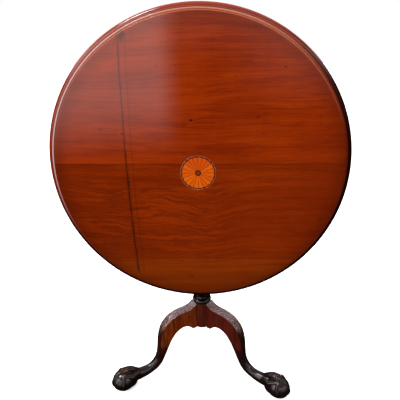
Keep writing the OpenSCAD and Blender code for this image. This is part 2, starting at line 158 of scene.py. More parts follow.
def spline(rows, steps):
    """Catmull-Rom curve through rows of numbers, with steps points in each span."""
    rows = np.array(rows, float)
    out = []
    for i in range(len(rows) - 1):
        a, b, c = rows[max(i - 1, 0)], rows[i], rows[i + 1]
        d = rows[min(i + 2, len(rows) - 1)]
        for k in range(steps):
            t = k / steps
            out.append(0.5 * (2 * b + (c - a) * t + (2 * a - 5 * b + 4 * c - d) * t * t
                              + (3 * b - a - 3 * c + d) * t ** 3))
    out.append(rows[-1])
    return np.array(out)


def arc(centre, rx, ry, start, end, steps):
    """Points of an elliptical arc, with its angles in degrees."""
    angles = np.radians(np.linspace(start, end, steps + 1))
    return [(centre[0] + rx * math.cos(a), centre[1] + ry * math.sin(a)) for a in angles]


def lathe_mesh(name, outline, place, segments=96, sharp=35):
    """Turns an outline of (radius, height) rows; place maps (x, y, height) to a point in the frame."""
    points, rings = [], []
    for radius, height in outline:
        if radius < 1e-7:
            rings.append([len(points)])
            points.append(place(0, 0, height))
            continue
        rings.append(list(range(len(points), len(points) + segments)))
        for k in range(segments):
            a = 2 * math.pi * k / segments
            points.append(place(radius * math.cos(a), radius * math.sin(a), height))
    faces = []
    for lower, upper in zip(rings, rings[1:]):
        for k in range(segments):
            n = (k + 1) % segments
            if len(lower) == 1 and len(upper) > 1:
                faces.append((lower[0], upper[n], upper[k]))
            elif len(upper) == 1 and len(lower) > 1:
                faces.append((lower[k], lower[n], upper[0]))
            elif len(lower) > 1:
                faces.append((lower[k], lower[n], upper[n], upper[k]))
    return mesh_from(name, points, faces, sharp)


def turned(name, outline, centre, **options):
    """Lathe-turned piece standing on centre."""
    return lathe_mesh(name, outline, lambda x, y, h: centre + Vector((x, y, h)), **options)


# ---------- node helpers ----------

class Nodes:
    """Short calls that add and link the nodes of one tree."""

    def __init__(self, tree):
        self.tree = tree

    def add(self, kind, **settings):
        node = self.tree.nodes.new(kind)
        for key, value in settings.items():
            setattr(node, key, value)
        return node

    def feed(self, socket, value):
        if isinstance(value, bpy.types.NodeSocket):
            self.tree.links.new(value, socket)
        else:
            socket.default_value = value

    def math(self, operation, a, b=0.0):
        node = self.add("ShaderNodeMath", operation=operation)
        self.feed(node.inputs[0], a)
        self.feed(node.inputs[1], b)
        return node.outputs[0]

    def plus(self, a, b):
        return self.math("ADD", a, b)

    def minus(self, a, b):
        return self.math("SUBTRACT", a, b)

    def times(self, a, b):
        return self.math("MULTIPLY", a, b)

    def absolute(self, a):
        return self.math("ABSOLUTE", a)

    def length(self, a, b):
        """Length of the line from the origin to (a, b)."""
        return self.math("SQRT", self.plus(self.times(a, a), self.times(b, b)))

    def ramp(self, value, low, high, to_low=0.0, to_high=1.0):
        """Smooth step of value from low..high to to_low..to_high."""
        node = self.add("ShaderNodeMapRange", interpolation_type="SMOOTHSTEP")
        for socket, number in zip(node.inputs, (value, low, high, to_low, to_high)):
            self.feed(socket, number)
        return node.outputs[0]

    def window(self, value, low, high, soft):
        """1 between low and high, falling to 0 over soft on either side."""
        rise = self.ramp(value, low - soft, low + soft)
        return self.times(rise, self.ramp(value, high - soft, high + soft, 1, 0))


class Paint(Nodes):
    """One procedural material."""

    def __init__(self, name):
        self.material = bpy.data.materials.new(name)
        self.material.use_nodes = True
        super().__init__(self.material.node_tree)
        self.surface = self.tree.nodes["Principled BSDF"]
        self.object_coords = self.add("ShaderNodeTexCoord").outputs["Object"]

    def mix(self, factor, a, b):
        node = self.add("ShaderNodeMix", data_type="RGBA")
        self.feed(node.inputs[0], factor)
        self.feed(node.inputs[6], a)
        self.feed(node.inputs[7], b)
        return node.outputs[2]

    def place(self, scale, shift=(0, 0, 0)):
        """Object coordinates, stretched and shifted."""
        node = self.add("ShaderNodeMapping")
        self.feed(node.inputs[0], self.object_coords)
        node.inputs["Location"].default_value = shift
        node.inputs["Scale"].default_value = scale
        return node.outputs[0]

    def noise(self, vector, scale=1.0, detail=3.0, rough=0.5, distort=0.0):
        node = self.add("ShaderNodeTexNoise")
        self.feed(node.inputs["Vector"], vector)
        node.inputs["Scale"].default_value = scale
        node.inputs["Detail"].default_value = detail
        node.inputs["Roughness"].default_value = rough
        node.inputs["Distortion"].default_value = distort
        return node.outputs["Fac"]

    def axes(self):
        node = self.add("ShaderNodeSeparateXYZ")
        self.feed(node.inputs[0], self.object_coords)
        return node.outputs

    def attribute(self, name):
        return self.add("ShaderNodeAttribute", attribute_name=name).outputs["Fac"]

    def bump(self, height, strength, distance):
        node = self.add("ShaderNodeBump")
        node.inputs["Strength"].default_value = strength
        node.inputs["Distance"].default_value = distance
        self.feed(node.inputs["Height"], height)
        self.feed(self.surface.inputs["Normal"], node.outputs[0])

    def set(self, **values):
        for key, value in values.items():
            self.feed(self.surface.inputs[key.replace("_", " ")], value)


def rgb(red, green, blue):
    """Linear colour from 0..255 display values."""
    def linear(v):
        v /= 255
        return v / 12.92 if v <= 0.04045 else ((v + 0.055) / 1.055) ** 2.4
    return (linear(red), linear(green), linear(blue), 1)


# ---------- materials ----------

RIM_W = 0.0178                   # field's arris to the outer edge
RIM_DEPTH = 0.014                # face to the bottom of the edge moulding
QUIRK_W, QUIRK_DEPTH = 0.0009, 0.0012
BEAD_R, BEAD_RISE = 0.0024, 0.0011
EDGE_LAND = 0.003
UNDER_BEVEL = 0.008
FIELD_R = TOP_R - RIM_W          # radius of the flat field inside the moulding
BEAD_AT = FIELD_R + QUIRK_W + BEAD_R

LINE_X = -0.1893                 # old dark line across the boards, left of the centre
LINE_BOW = 0.066
LINE_ENDS = (-0.312, 0.330)
TWIN_OFF = 0.0165                # from the dark line to its faint companion
STAIN_AT = (LINE_X + 0.015, 0.333)
KNOTS = (                        # x and z from the top's centre, size, strength
    (-0.016, 0.138, 0.0036, 1.0), (0.151, 0.146, 0.0036, 0.5), (0.209, 0.260, 0.0028, 0.8),
    (0.092, 0.240, 0.0022, 0.5), (-0.194, 0.105, 0.0026, 0.9), (-0.248, 0.116, 0.0044, 0.4),
    (-0.097, 0.265, 0.0024, 0.6), (-0.023, -0.323, 0.0050, 0.4), (0.130, -0.347, 0.0045, 0.35),
    (0.334, -0.137, 0.0026, 0.8), (-0.034, 0.127, 0.0046, 0.3),
)


def spot(p, x, z, at_x, at_z, size, flat=0.6):
    """1 in a small soft-edged spot, wider than it is high."""
    dx = p.minus(x, at_x)
    dz = p.math("DIVIDE", p.minus(z, at_z), flat)
    away = p.length(dx, dz)
    return p.ramp(away, size * 0.4, size * 1.6, 1.0, 0.0)


def top_wood(name, seed, dark, light):
    """French-polished red mahogany with its grain along X."""
    p = Paint(name)
    x, depth, height = p.axes()
    z = p.minus(height, FACE.z)
    radius = p.length(x, z)

    # straight grain, swaying slowly, and curling where the board shows its figure
    sway = p.noise(p.place(scale=(1.5, 1, 4), shift=(seed, 0, seed)), detail=2)
    curl = p.noise(p.place(scale=(7, 1, 15), shift=(seed, 0, seed * 2)), detail=3, rough=0.55)
    figure = p.times(p.window(x, -0.36, 0.10, 0.08), p.window(z, -0.28, -0.03, 0.05))
    away = p.noise(p.place(scale=(3, 1, 6), shift=(seed * 3, 0, 0)), detail=1)
    reach = p.plus(p.times(figure, 0.046), p.ramp(away, 0.35, 0.7, 0.002, 0.016))
    grain_z = p.plus(z, p.times(sway, 0.045))
    grain_z = p.plus(grain_z, p.times(curl, reach))

    def grain(along, across, detail=3, rough=0.55):
        at = p.add("ShaderNodeCombineXYZ")
        p.feed(at.inputs[0], p.times(x, along))
        at.inputs[1].default_value = seed * 7
        p.feed(at.inputs[2], p.times(grain_z, across))
        return p.noise(at.outputs[0], detail=detail, rough=rough)

    broad = grain(1.3, 16, 2)
    band = grain(4, 75, 4, 0.6)
    streak = grain(11, 380, 5, 0.75)
    fibre = grain(30, 1300, 2)
    pore = p.ramp(grain(70, 1900, 1), 0.60, 0.72)
    cloud = p.noise(p.place(scale=(4, 1, 4), shift=(seed, 0, 3)), detail=3)

    tone = p.plus(p.times(broad, 0.15), p.times(band, 0.22))
    tone = p.plus(tone, p.times(streak, 0.42))
    tone = p.plus(tone, p.times(cloud, 0.18))
    base = p.mix(p.ramp(tone, 0.372, 0.610), rgb(*dark), rgb(*light))
    base = p.mix(p.times(p.ramp(streak, 0.50, 0.66), 0.46), base, rgb(84, 18, 3))
    base = p.mix(p.times(p.ramp(fibre, 0.50, 0.75), 0.20), base, rgb(196, 84, 20))
    base = p.mix(p.times(pore, 0.30), base, rgb(64, 16, 4))
    line = p.ramp(p.absolute(p.minus(band, 0.5)), 0.0, 0.045, 1, 0)
    base = p.mix(p.times(p.times(line, figure), 0.42), base, rgb(64, 14, 3))

    # painted shade: redder and darker towards the sides, most of all on the right, and darker and yellower near
    # the bottom
    base = p.mix(p.ramp(p.absolute(x), 0.20, 0.40, 0, 0.18), base, rgb(96, 20, 4))
    base = p.mix(p.ramp(x, 0.24, 0.40, 0, 0.25), base, rgb(96, 16, 6))
    base = p.mix(p.ramp(z, 0.10, -0.10, 0, 0.16), base, rgb(84, 22, 2))
    base = p.mix(p.ramp(z, -0.18, -0.36, 0, 0.45), base, rgb(126, 50, 4))
    # darker beside the rim, and further in towards the lower left
    darkening = p.plus(radius, p.times(cloud, 0.03))
    low_left = p.ramp(p.plus(x, z), -0.10, -0.45, 0.0, 0.12)
    base = p.mix(p.plus(p.ramp(darkening, 0.352, 0.400, 0, 0.34), p.times(low_left,
                 p.ramp(darkening, 0.26, 0.36))), base, rgb(58, 15, 4))

    # the long dark line, its faint companion and the stain where it starts
    wander = p.times(p.minus(p.noise(p.place(scale=(0, 0, 9)), detail=3), 0.5), 0.005)
    bow = p.plus(LINE_X, p.times(p.times(z, z), LINE_BOW))
    off = p.minus(p.minus(x, wander), bow)
    span_z = p.window(z, *LINE_ENDS, 0.004)
    patchy = p.ramp(p.noise(p.place(scale=(0, 0, 22)), detail=4), 0.3, 0.6, 0.5, 1.0)
    width = p.ramp(z, 0.10, -0.05, 0.0012, 0.0021)
    edge = p.math("DIVIDE", p.absolute(off), width)
    dark_line = p.times(p.times(p.ramp(edge, 0.6, 1.25, 1, 0), span_z), patchy)
    halo = p.times(p.times(p.ramp(edge, 0.8, 4.5, 0.28, 0), span_z), patchy)
    twin = p.ramp(p.absolute(p.minus(off, TWIN_OFF)), 0.0006, 0.0024, 1, 0)
    twin = p.times(p.times(twin, span_z), p.times(patchy, 0.30))
    blot = p.noise(p.place(scale=(60, 1, 60)), detail=3)
    blot_size = p.ramp(blot, 0.3, 0.7, 0.7, 1.35)
    blot_x = p.math("DIVIDE", p.absolute(p.minus(x, STAIN_AT[0])), blot_size)
    blot_z = p.math("DIVIDE", p.absolute(p.minus(z, STAIN_AT[1])), blot_size)
    blot = p.ramp(p.plus(blot_x, blot_z), 0.008, 0.021, 0.62, 0.0)
    marks = p.math("MAXIMUM", p.math("MAXIMUM", p.times(dark_line, 0.86), twin), blot)
    marks = p.math("MAXIMUM", marks, halo)
    for knot_x, knot_z, size, strength in KNOTS:
        mark = p.times(spot(p, x, z, knot_x, knot_z, size * 1.2), 0.9 * strength)
        marks = p.math("MAXIMUM", marks, mark)
    for joint_z in JOINTS_Z:
        off_joint = p.absolute(p.minus(height, joint_z))
        marks = p.math("MAXIMUM", marks, p.ramp(off_joint, 0.0004, 0.0016, 0.42, 0.0))
    base = p.mix(marks, base, rgb(36, 13, 12))

    # the moulded rim is darker; painted shade darkens it further low down and on the right, and painted highlights
    # make the bead's crest pale towards the top and the left and the arris orange towards the top
    on_rim = p.ramp(radius, FIELD_R - 0.0006, FIELD_R + 0.0004)
    base = p.mix(p.times(on_rim, 0.75), base, p.mix(streak, rgb(96, 26, 12), rgb(146, 50, 26)))
    # painted shade: beyond the bead the rim is painted near black low down and on the right, and the whole rim
    # darker there
    painted_shade = rgb(20, 5, 3)
    slant = p.minus(z, p.times(x, 0.62))
    rim_shade = p.times(p.ramp(radius, BEAD_AT - 0.0005, BEAD_AT + 0.0020), p.ramp(slant, -0.02, 0.28, 0.92, 0.0))
    base = p.mix(rim_shade, base, painted_shade)
    rim_shade = p.times(on_rim, p.ramp(slant, -0.25, 0.05, 0.50, 0.0))
    base = p.mix(rim_shade, base, painted_shade)
    # painted highlight: the bead's crest is painted pale towards the top and the left, whitish on the left, for
    # light caught by the polish
    crest_highlight = p.ramp(slant, 0.02, 0.34)
    crest = p.ramp(p.absolute(p.minus(radius, BEAD_AT)), 0.0012, 0.0022, 0.70, 0.0)
    pale = p.mix(p.ramp(x, -0.34, 0.02), rgb(236, 196, 196), rgb(226, 150, 122))
    base = p.mix(p.times(crest, crest_highlight), base, pale)
    # painted highlight: the arris is painted orange towards the top, where light from above falls on it
    arris = p.ramp(p.absolute(p.minus(radius, FIELD_R)), 0.0010, 0.0022, 0.55, 0.0)
    base = p.mix(p.times(arris, p.ramp(z, 0.10, 0.34)), base, rgb(226, 112, 60))

    # the underside was never polished, and has dried to a dull brown
    back_y = FACE.y + TOP_T
    under = p.ramp(depth, back_y - 0.0035, back_y - 0.0015)
    dry = p.mix(p.ramp(tone, 0.39, 0.62), rgb(76, 38, 24), rgb(122, 70, 44))
    dry = p.mix(p.times(marks, 0.6), dry, rgb(40, 24, 18))
    base = p.mix(p.times(under, 0.92), base, dry)

    # the polish is dulled on the rim, least towards the upper left, and stops at the underside
    p.set(Base_Color=base, Roughness=p.ramp(cloud, 0.3, 0.7, 0.42, 0.55))
    tilt = p.minus(z, p.times(x, 0.30))
    dulled = p.times(on_rim, p.minus(1.0, p.ramp(tilt, 0.05, 0.40, 0.08, 0.80)))
    p.set(Coat_Weight=p.times(p.minus(1.0, dulled), p.minus(1.0, under)))
    p.set(Specular_IOR_Level=0.0, Coat_Roughness=0.07, Coat_IOR=1.47)
    relief = p.plus(p.times(pore, -0.6), p.times(streak, 0.4))
    p.bump(relief, 0.12, 0.0004)
    return p.material


MARKS = ("hollow", "worn", "top_sheen", "flank", "knee")       # stored on the legs' points by mark_wear


def base_wood(name, flank_dark=(84, 27, 14), flank_light=(122, 46, 22), red_below=None):
    """Very dark polished mahogany: redder on flat sides, worn to lighter wood on what stands proud."""
    p = Paint(name)
    stretch = (150, 150, 11)
    broad = p.noise(p.place(scale=tuple(s * 0.10 for s in stretch)), detail=3)
    grain = p.noise(p.place(scale=stretch), detail=4, rough=0.6, distort=0.3)
    pore = p.ramp(p.noise(p.place(scale=(2300, 2300, 110)), detail=1), 0.60, 0.74)
    smoke = p.noise(p.object_coords, scale=38, detail=4)
    base = p.mix(p.ramp(grain, 0.35, 0.68), rgb(24, 9, 7), rgb(58, 22, 13))
    base = p.mix(p.ramp(broad, 0.35, 0.65, 0, 0.5), base, rgb(26, 10, 8))
    base = p.mix(p.times(pore, 0.35), base, rgb(14, 6, 5))
    height = p.axes()[2]
    # darker towards the feet
    base = p.mix(p.ramp(height, 0.06, 0.15, 0.80, 0.0), base, rgb(16, 10, 8))
    hollow, worn, top_sheen, flank, knee = (p.attribute(mark) for mark in MARKS)
    side = p.mix(p.ramp(grain, 0.3, 0.7), rgb(*flank_dark), rgb(*flank_light))
    side = p.mix(p.ramp(broad, 0.40, 0.72, 0, 0.6), side, rgb(52, 18, 10))
    base = p.mix(p.times(flank, 0.92), base, side)
    if red_below is not None:              # the pillar: near black above its drum
        # painted shade: above its drum the pillar is painted near black, where the top shades it
        base = p.mix(0.90, base, rgb(5, 3, 3))
        base = p.mix(p.ramp(height, red_below - 0.001, red_below + 0.001, 0.95, 0), base, side)
    # painted highlight: the up-facing tops of the legs are painted a pale, mottled mauve sheen
    mottle = p.ramp(p.noise(p.object_coords, scale=210, detail=4, rough=0.75), 0.42, 0.56, 0.05, 1.0)
    sheen_colour = p.mix(knee, rgb(140, 112, 115), rgb(144, 110, 96))
    base = p.mix(p.times(p.times(top_sheen, mottle), 0.85), base, sheen_colour)
    vein = p.absolute(p.minus(p.noise(p.place(scale=(110, 110, 42)), detail=3), 0.5))
    base = p.mix(p.times(knee, p.ramp(vein, 0.010, 0.050, 0.85, 0.0)), base, rgb(26, 12, 10))
    base = p.mix(p.times(hollow, 0.9), base, rgb(8, 4, 4))
    corner = p.ramp(p.absolute(p.minus(flank, 0.5)), 0.30, 0.48, 0.75, 0.0)
    base = p.mix(corner, base, rgb(20, 7, 5))
    chafed = p.times(p.ramp(p.plus(worn, p.times(smoke, 0.7)), 0.80, 1.30), 0.62)
    base = p.mix(chafed, base, rgb(158, 108, 82))
    p.set(Base_Color=base, Roughness=p.ramp(smoke, 0.3, 0.7, 0.30, 0.46))
    p.set(Coat_Weight=p.ramp(height, 0.07, 0.16, 0.46, 0.52))
    p.set(Specular_IOR_Level=0.10, Coat_Roughness=0.06, Coat_IOR=1.5)
    p.bump(p.plus(p.times(grain, 0.5), p.times(pore, -0.4)), 0.10, 0.0004)
    return p.material


def under_wood(name, axis, tone=1.0):
    """Dry, oxidised mahogany of the parts behind the top."""
    p = Paint(name)
    stretch = {"X": (7, 120, 120), "Y": (120, 7, 120), "Z": (120, 120, 7)}[axis]
    broad = p.noise(p.place(scale=tuple(s * 0.12 for s in stretch)), detail=3)
    grain = p.noise(p.place(scale=stretch), detail=5, rough=0.65, distort=0.5)
    pore = p.ramp(p.noise(p.place(scale=tuple(s * 8 for s in stretch)), detail=1), 0.58, 0.74)
    darkening = p.noise(p.object_coords, scale=14, detail=5, rough=0.65)
    dark, light, warm = (rgb(*[c * tone for c in hue]) for hue in ((74, 40, 24), (128, 76, 46), (96, 50, 28)))
    base = p.mix(p.ramp(grain, 0.3, 0.7), dark, light)
    base = p.mix(p.ramp(broad, 0.3, 0.7, 0, 0.4), base, warm)
    base = p.mix(p.ramp(darkening, 0.45, 0.75, 0, 0.5), base, rgb(44, 28, 20))
    base = p.mix(p.times(pore, 0.5), base, rgb(34, 20, 14))
    p.set(Base_Color=base, Roughness=p.ramp(darkening, 0.3, 0.7, 0.52, 0.72))
    p.set(Specular_IOR_Level=0.35)
    p.bump(p.plus(p.times(grain, 0.6), p.times(pore, -0.7)), 0.3, 0.0006)
    return p.material


PETALS = 20


def inlay_angle(p):
    """Angle about the inlay's centre in turns, and the distance from that centre."""
    x, _, height = p.axes()
    z = p.minus(height, FACE.z)
    turns = p.math("DIVIDE", p.math("ARCTAN2", z, x), 2 * math.pi)
    away = p.length(x, z)
    return p.plus(turns, 1.0), away


def satinwood(name):
    """Polished satinwood petals, scorched dark along one edge with hot sand."""
    p = Paint(name)
    turns, away = inlay_angle(p)
    step = p.times(turns, PETALS)
    across = p.math("FRACT", step)
    own = p.math("FLOOR", step)
    each = p.noise(p.times(own, 3.7), scale=1.0, detail=0)
    lustre = p.noise(p.place(scale=(700, 1, 90)), detail=3)
    base = p.mix(p.ramp(each, 0.35, 0.65), rgb(214, 82, 2), rgb(236, 104, 4))
    base = p.mix(p.times(lustre, 0.35), base, rgb(196, 66, 3))
    edge = p.ramp(across, 0.0, 0.28, 1, 0)
    patchy = p.ramp(p.noise(p.place(scale=(160, 1, 160)), detail=3), 0.35, 0.6, 0.35, 1.0)
    scorch = p.times(p.times(edge, patchy), p.ramp(away, 0.012, 0.026, 0.30, 0.75))
    base = p.mix(scorch, base, rgb(150, 28, 2))
    line = p.math("MINIMUM", across, p.minus(1.0, across))
    arc_off = p.times(p.times(line, 2 * math.pi / PETALS), away)
    base = p.mix(p.ramp(arc_off, 0.0002, 0.0006, 0.60, 0.0), base, rgb(110, 14, 2))
    p.set(Base_Color=base, Roughness=0.36, Specular_IOR_Level=0.35)
    p.set(Coat_Weight=0.5, Coat_Roughness=0.10, Coat_IOR=1.45)
    p.bump(lustre, 0.06, 0.0003)
    return p.material


def plain_inlay(name, dark, light):
    """Small pieces of straight-grained veneer under thin polish."""
    p = Paint(name)
    grain = p.noise(p.place(scale=(300, 1, 300)), detail=3)
    p.set(Base_Color=p.mix(p.ramp(grain, 0.3, 0.7), dark, light), Roughness=0.38, Specular_IOR_Level=0.10)
    p.set(Coat_Weight=0.2, Coat_Roughness=0.10, Coat_IOR=1.45)
    p.bump(grain, 0.05, 0.0003)
    return p.material


def old_metal(name, dark, light, smooth, rough, tarnish):
    """Handled metal: bright where it is worn by handling, dull and darker in broad patches."""
    p = Paint(name)
    patch = p.noise(p.object_coords, scale=60, detail=5, rough=0.6)
    fine = p.noise(p.object_coords, scale=900, detail=2)
    base = p.mix(p.ramp(patch, 0.38, 0.64), light, dark)
    base = p.mix(p.ramp(patch, 0.58, 0.78, 0, 0.8), base, tarnish)
    p.set(Base_Color=base, Metallic=p.ramp(patch, 0.6, 0.8, 1.0, 0.75))
    p.set(Roughness=p.ramp(patch, 0.35, 0.7, smooth, rough))
    p.bump(p.plus(p.times(patch, 0.6), p.times(fine, 0.2)), 0.2, 0.0004)
    return p.material


# ---------- the round top ----------

def top_outline():
    """Rows of radius and depth behind the face: recess, field, quirk, bead, quarter round, edge, underside."""
    ease = 0.0009
    rows = [(0, INLAY_T), (INLAY_R, INLAY_T), (INLAY_R, 0.0)]
    rows += [(INLAY_R + (FIELD_R - INLAY_R) * t, 0.0) for t in (0.02, 0.25, 0.5, 0.75, 0.98)]
    rows += arc((FIELD_R - ease, ease), ease, -ease, 90, 5, 6)
    rows += [(FIELD_R + 0.0001, QUIRK_DEPTH), (FIELD_R + QUIRK_W, QUIRK_DEPTH)]
    rows += arc((BEAD_AT, QUIRK_DEPTH), BEAD_R, -BEAD_RISE, 178, 25, 12)
    start = BEAD_AT + BEAD_R
    rows += arc((start, RIM_DEPTH), TOP_R - start, QUIRK_DEPTH - RIM_DEPTH, 89, 2, 26)
    rows += [(TOP_R, RIM_DEPTH + 0.0004), (TOP_R, RIM_DEPTH + EDGE_LAND - 0.001)]
    rows += arc((TOP_R - 0.001, RIM_DEPTH + EDGE_LAND - 0.001), 0.001, 0.001, 20, 70, 3)
    rows += [(TOP_R - UNDER_BEVEL, TOP_T), (TOP_R - UNDER_BEVEL - 0.001, TOP_T)]
    rows += [(TOP_R * t, TOP_T) for t in (0.7, 0.4, 0.1)] + [(0, TOP_T)]
    return rows


def make_top():
    """The three boards, turned as one blank and then cut apart at their glue lines."""
    sharp = 25
    whole = lathe_mesh("top_blank", top_outline(),
                       lambda x, y, d: FACE + Vector((x, d, y)), segments=360, sharp=sharp)
    pieces = []
    cuts = {
        "top_board_upper": (JOINTS_Z[0], None),
        "top_board_middle": (JOINTS_Z[1], JOINTS_Z[0]),
        "top_board_lower": (None, JOINTS_Z[1]),
    }
    for node, (low, high) in cuts.items():
        shape = bmesh.new()
        shape.from_mesh(whole)
        for level, outward in ((low, -1), (high, 1)):
            if level is None:
                continue
            bmesh.ops.triangle_fill(shape, edges=cut_level(shape, level, outward), use_beauty=True)
        bmesh.ops.recalc_face_normals(shape, faces=shape.faces)
        mesh = bpy.data.meshes.new(node)
        shape.to_mesh(mesh)
        shape.free()
        shade(mesh, sharp)
        piece = add_object(f"{node}_wood", mesh)
        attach(piece, "top")
        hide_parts(node)
        pieces.append(piece)
    bpy.data.meshes.remove(whole)
    return pieces


board_upper, board_middle, board_lower = make_top()
board_upper.data.materials.append(top_wood("top_wood_upper", 0.0, (122, 30, 3), (182, 62, 8)))
board_middle.data.materials.append(top_wood("top_wood_middle", 1.3, (108, 27, 2), (166, 54, 5)))
board_lower.data.materials.append(top_wood("top_wood_lower", 2.9, (112, 34, 3), (172, 66, 8)))


# ---------- pillar, balusters and collar ----------

DRUM_R, DRUM_H = 32, 101               # the part that the legs join, in millimetres
RING_UP = 108.5                        # underside to the middle of the ring over the drum
VASE = ((29.5, 281), (29.5, 288), (27, 298), (30, 314), (40, 336), (43.5, 358), (39, 384),
        (28, 412), (23, 442), (21.5, 480), (21, 520), (22, 545), (24, 556))
FLANGE_R, STEM_R, SPIGOT_R = 36, 19, 15


def pillar_outline():
    """Rows of radius and height, from the pillar's underside to its spigot."""
    foot_z = PILLAR_LOW.z / MM
    head_z = PILLAR_HIGH.z / MM
    flange_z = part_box("cage_bottom_plate")[0].z / MM
    shoulder_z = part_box("cage_top_plate")[0].z / MM - 0.2
    ring_z = foot_z + RING_UP
    rows = [(0, foot_z + 0.4), (DRUM_R - 0.6, foot_z + 0.4), (DRUM_R, foot_z + 1)]
    rows += [(DRUM_R, foot_z + t) for t in (30, 60, 90)] + [(DRUM_R, ring_z - 7.6), (29.4, ring_z - 7.3)]
    rows += arc((27, ring_z), 5.8, 7.5, -68, 68, 20)
    rows += [tuple(row) for row in spline(VASE, 8)]
    rows += arc((24, 562), 5, 5, -78, 78, 14)
    neck = [(24, 568), (24.5, flange_z - 13), (29, flange_z - 8), (FLANGE_R, flange_z - 6)]
    rows += [tuple(row) for row in spline(neck, 7)]
    rows += [(FLANGE_R, flange_z - 0.6), (FLANGE_R - 0.6, flange_z), (STEM_R, flange_z), (STEM_R, shoulder_z)]
    rows += [(SPIGOT_R, shoulder_z), (SPIGOT_R, head_z - 0.8), (SPIGOT_R - 0.8, head_z), (0, head_z)]
    return [(r * MM, z * MM) for r, z in rows]


def make_pillar():
    piece = add_object("turned_pillar", turned("turned_pillar", pillar_outline(), AXIS, segments=144))
    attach(piece, "base")
    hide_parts("pillar")
    return piece


TENON = 12                             # hidden in the plate at either end of a baluster


def make_baluster(node):
    low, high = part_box(node)
    middle = (low + high) / 2
    half = (high.z - low.z) / 2 / MM - TENON
    body = [(9, -half), (12, 4 - half), (8, 10 - half), (13, 22 - half), (12, half - 30),
            (7, half - 13), (11, half - 8), (9, half)]
    rows = [(0, -half - 2), (8, -half - 2), (8, -half)] + [tuple(r) for r in spline(body, 8)]
    rows += [(8, half), (8, half + 2), (0, half + 2)]
    outline = [(r * MM, z * MM) for r, z in rows]
    piece = add_object(f"{node}_turned", turned(f"{node}_turned", outline, middle, segments=48))
    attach(piece, "cage")
    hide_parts(node)
    return piece


COLLAR_BORE_R = 0.01905
COLLAR_ROUND = 0.004


def make_collar():
    low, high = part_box("cage_collar")
    outer = (high.x - low.x) / 2
    height = high.z - low.z
    flat = outer - COLLAR_ROUND
    rows = [(COLLAR_BORE_R, 0), (flat, 0)]
    rows += arc((flat, height / 2), COLLAR_ROUND, height / 2, -80, 80, 14)
    rows += [(flat, height), (COLLAR_BORE_R, height), (COLLAR_BORE_R, 0)]
    base = Vector((AXIS.x, AXIS.y, low.z))
    piece = add_object("turned_collar", turned("turned_collar", rows, base, segments=96))
    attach(piece, "base")
    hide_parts("cage_collar")
    return piece


# ---------- pieces whose CAD shape only needs its edges eased ----------

def eased_piece(node, radius, body, material):
    """Copy of a CAD node with its sharp edges rounded over."""
    name = f"{node}_eased"
    shape = bmesh.new()
    shape.from_mesh(nodes[node].data)
    bmesh.ops.remove_doubles(shape, verts=shape.verts, dist=1e-6)
    bmesh.ops.dissolve_limit(shape, angle_limit=math.radians(0.5), verts=shape.verts, edges=shape.edges)
    mesh = bpy.data.meshes.new(name)
    shape.to_mesh(mesh)
    shape.free()
    blank = add_object(name + "_blank", mesh)
    bevel = blank.modifiers.new("ease", "BEVEL")
    bevel.width = radius
    bevel.segments = 3
    bevel.limit_method = "ANGLE"
    bevel.angle_limit = math.radians(50)
    bevel.use_clamp_overlap = True
    bevel.harden_normals = False
    mesh = baked(blank, name)
    shade(mesh, 40)
    mesh.materials.clear()
    mesh.materials.append(material)
    piece = add_object(name, mesh)
    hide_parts(node)
    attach(piece, body)


# ---------- cabriole legs ----------

# Each station: top edge (out, up), lower edge (out, up), half width, roundness 0..1, crown. Millimetres.
LEG = (
    (30, 267, 30, 164.4, 18, 0, 0.3), (40, 259, 44, 164.4, 18, 0, 0.4),
    (55, 251, 52, 171.5, 18, 0, 0.6), (68, 249, 64, 181.5, 18, 0, 0.8),
    (82, 247.8, 80, 185, 18, 0, 1.0), (106, 243, 95, 180.5, 18, 0, 1.4),
    (126, 234, 105.5, 174, 18, 0, 2.0), (143.5, 219, 113, 167.5, 18, 0.02, 2.4),
    (155.5, 203, 120, 156.5, 17.8, 0.06, 2.6), (165, 178.5, 127.5, 144, 17.4, 0.16, 2.4),
    (171.5, 152.5, 134, 126, 17, 0.34, 1.6), (176.5, 122, 138.5, 112, 16.6, 0.60, 0.6),
    (181, 100, 145, 92, 16.2, 0.85, 0), (188.5, 80, 153.5, 72, 15.8, 1, 0),
    (198, 67.5, 165.5, 50, 15.6, 1, 0), (209.5, 58.5, 183.5, 34, 15.6, 1, 0),
    (224, 54.5, 209.5, 22, 15.8, 1, 0), (245, 55, 238, 15.5, 17.0, 1, 0),
    (264, 58, 262, 14, 18.0, 1, 0), (284, 60, 284, 16, 18.0, 1, 0),
)
BALL = (41.0, 36.5, 35.5)              # half length, half width and half height of a ball
BALL_Z = 35.0
BALL_OUT = FOOT_AT / MM
RING_TOP, RING_SIDE, RING_LOW, RING_CORNER = 28, 30, 14, 5
CORNER_R = 1.1


